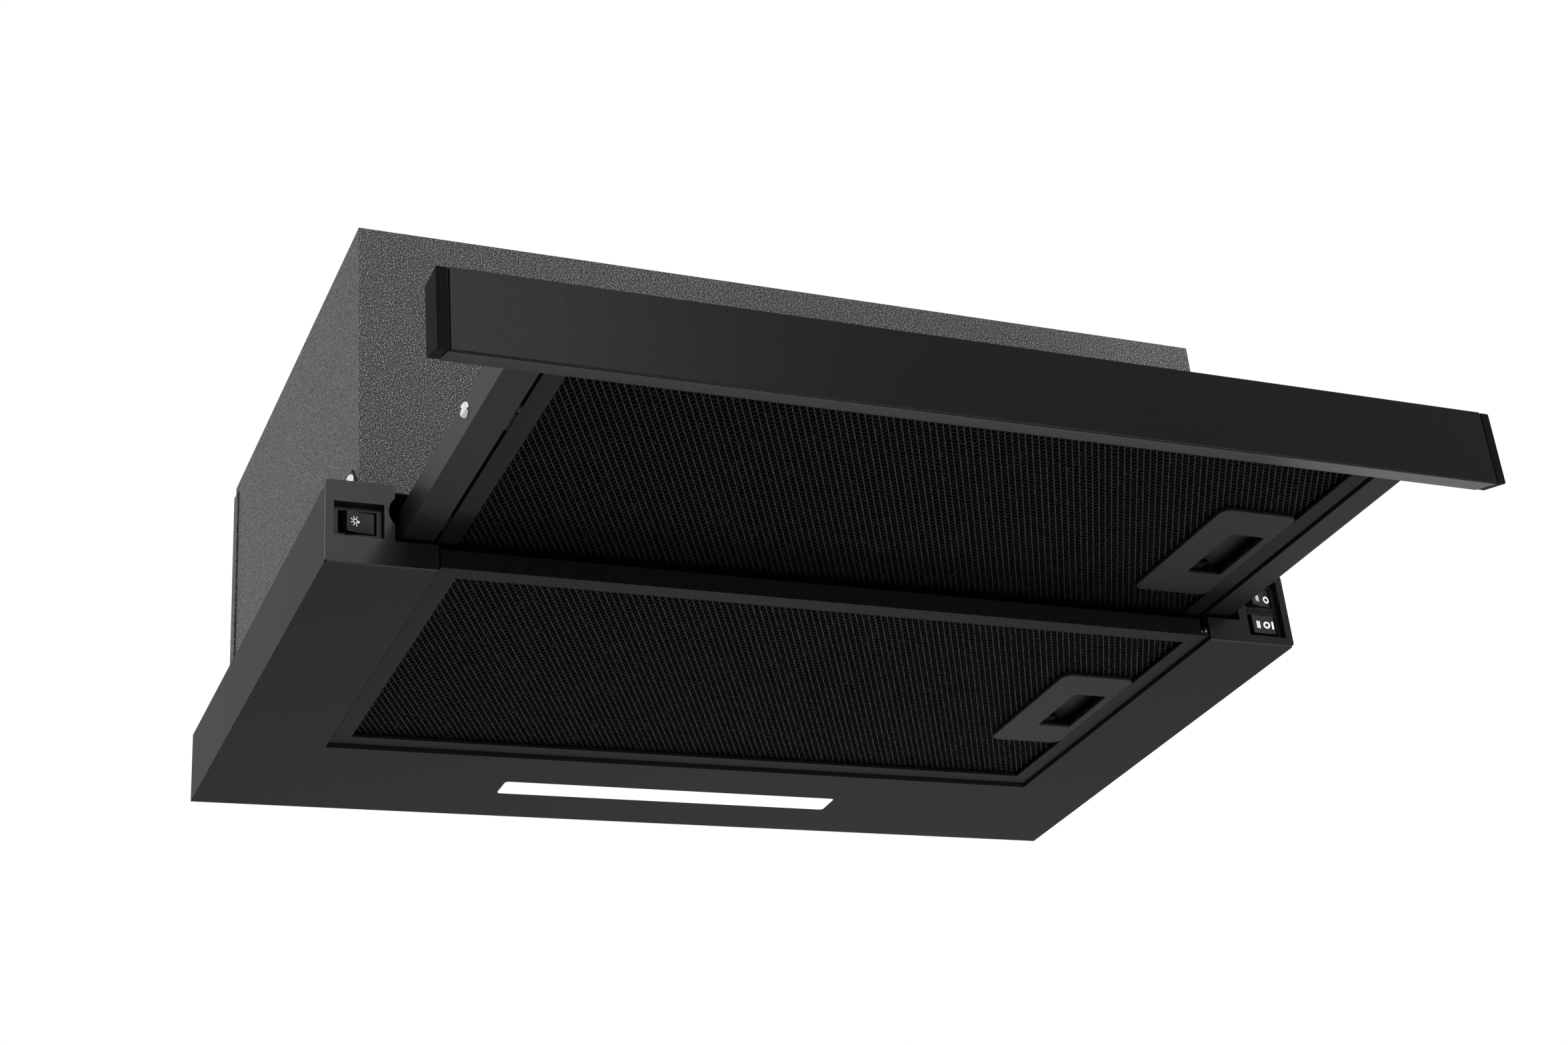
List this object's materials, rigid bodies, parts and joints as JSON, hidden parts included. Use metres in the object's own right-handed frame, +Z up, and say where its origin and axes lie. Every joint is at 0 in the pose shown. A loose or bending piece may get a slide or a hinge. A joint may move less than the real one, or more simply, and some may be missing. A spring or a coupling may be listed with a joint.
{
  "type": "pull-out range hood",
  "caption": "Slide-out cooker hood for a wall cabinet: tray with filter pulled out, drop-down rear filter, light, rocker switches and top duct outlet.",
  "frame": {"origin": "centre of the bounding box at the underside of the bottom panel, with the tray pulled out", "axes": "+X to the right along the width, +Y from the fascia to the back, +Z up"},
  "size_m": [0.5, 0.472, 0.215],
  "materials": {
    "body_paint": "fine-textured satin black",
    "housing_paint": "speckled matt black",
    "fascia_paint": "speckled satin black",
    "black_plastic": "satin moulded",
    "switch_plastic": "semi-gloss moulded",
    "lens_plastic": "opal white",
    "white_plastic": "natural",
    "board": "white solder mask",
    "galvanised": "galvanised sheet",
    "bright_steel": "bright plated",
    "motor_steel": "laminations and shields",
    "scroll_plastic": "moulded",
    "filter_paint": "satin black",
    "mesh_aluminium": "blackened",
    "rubber": "matt"
  },
  "bodies": {
    "hood": {"lower_body": "body_paint", "upper_housing": "housing_paint", "top_panel": "housing_paint", "back_panel": "housing_paint", "left_pod": "black_plastic", "right_pod": "black_plastic", "light_switch": "switch_plastic", "speed_switch": "switch_plastic", "boost_switch": "switch_plastic", "light_lens": "lens_plastic", "light_housing": "white_plastic", "led_board": "board", "led_driver": "white_plastic", "outlet_collar": "black_plastic", "flap_pin": "bright_steel", "scroll_left": "scroll_plastic", "scroll_right": "scroll_plastic", "inlet_rings": "scroll_plastic", "motor_body": "motor_steel", "motor_bracket": "galvanised", "motor_grommets": "rubber", "motor_screws": "bright_steel", "capacitor": "white_plastic", "capacitor_clip": "galvanised", "terminal_box": "white_plastic", "terminal_strip": "white_plastic", "terminal_cover": "white_plastic", "cable_gland": "black_plastic", "gland_nut": "black_plastic", "guide_channels": "galvanised", "glide_pads": "black_plastic", "housing_screws": "bright_steel", "pod_screw": "bright_steel"},
    "blower": {"blower_wheel": "scroll_plastic", "motor_shaft": "bright_steel"},
    "front_damper": {"front_flap": "scroll_plastic"},
    "rear_damper": {"rear_flap": "scroll_plastic"},
    "light_button": {"light_rocker": "switch_plastic"},
    "speed_button": {"speed_rocker": "switch_plastic"},
    "boost_button": {"boost_rocker": "switch_plastic"},
    "tray": {"tray_rail_left": "body_paint", "tray_rail_right": "body_paint", "tray_front_bar": "body_paint", "tray_rear_bar": "body_paint", "guide_shoes": "white_plastic", "tray_screws": "bright_steel", "fascia_panel": "fascia_paint", "fascia_core": "fascia_paint", "fascia_cap_left": "black_plastic", "fascia_cap_right": "black_plastic", "front_filter_frame": "filter_paint", "front_filter_mesh": "mesh_aluminium", "front_latch_plate": "black_plastic"},
    "front_latch": {"front_latch_bolt": "black_plastic"},
    "rear_filter": {"rear_filter_frame": "filter_paint", "rear_filter_mesh": "mesh_aluminium", "rear_latch_plate": "black_plastic"},
    "rear_latch": {"rear_latch_bolt": "black_plastic"}
  },
  "joints": [
    {"name": "tray_slide", "type": "slide", "parent": "hood", "child": "tray", "axis": [0, -1, 0], "range_m": [-0.1635, 0]},
    {"name": "rear_filter_drop", "type": "hinge", "parent": "hood", "child": "rear_filter", "pos_m": [-0.198, 0.04735, 0.0015], "axis": [0, 1, 0], "range_deg": [0, 75]},
    {"name": "rear_latch_slide", "type": "slide", "parent": "rear_filter", "child": "rear_latch", "axis": [-1, 0, 0], "range_m": [0, 0.0035], "stiffness_N_per_m": 100, "springref_m": -0.001},
    {"name": "front_latch_slide", "type": "slide", "parent": "tray", "child": "front_latch", "axis": [-1, 0, 0], "range_m": [0, 0.0035], "stiffness_N_per_m": 100, "springref_m": -0.001},
    {"name": "light_rocker_tilt", "type": "hinge", "parent": "hood", "child": "light_button", "pos_m": [-0.2342, -0.0487, 0.0209], "axis": [0, 0, -1], "range_deg": [0, 28]},
    {"name": "speed_rocker_tilt", "type": "hinge", "parent": "hood", "child": "speed_button", "pos_m": [0.2342, -0.0487, 0.01185], "axis": [0, 0, 1], "range_deg": [-14, 14]},
    {"name": "boost_rocker_tilt", "type": "hinge", "parent": "hood", "child": "boost_button", "pos_m": [0.2342, -0.0487, 0.02755], "axis": [0, 0, -1], "range_deg": [0, 28]},
    {"name": "blower_spin", "type": "hinge", "parent": "hood", "child": "blower", "pos_m": [0, 0.131, 0.1195], "axis": [1, 0, 0], "continuous": true},
    {"name": "front_flap_swing", "type": "hinge", "parent": "hood", "child": "front_damper", "pos_m": [0, 0.099, 0.195], "axis": [-1, 0, 0], "range_deg": [0, 80]},
    {"name": "rear_flap_swing", "type": "hinge", "parent": "hood", "child": "rear_damper", "pos_m": [0, 0.099, 0.195], "axis": [1, 0, 0], "range_deg": [0, 80]}
  ]
}
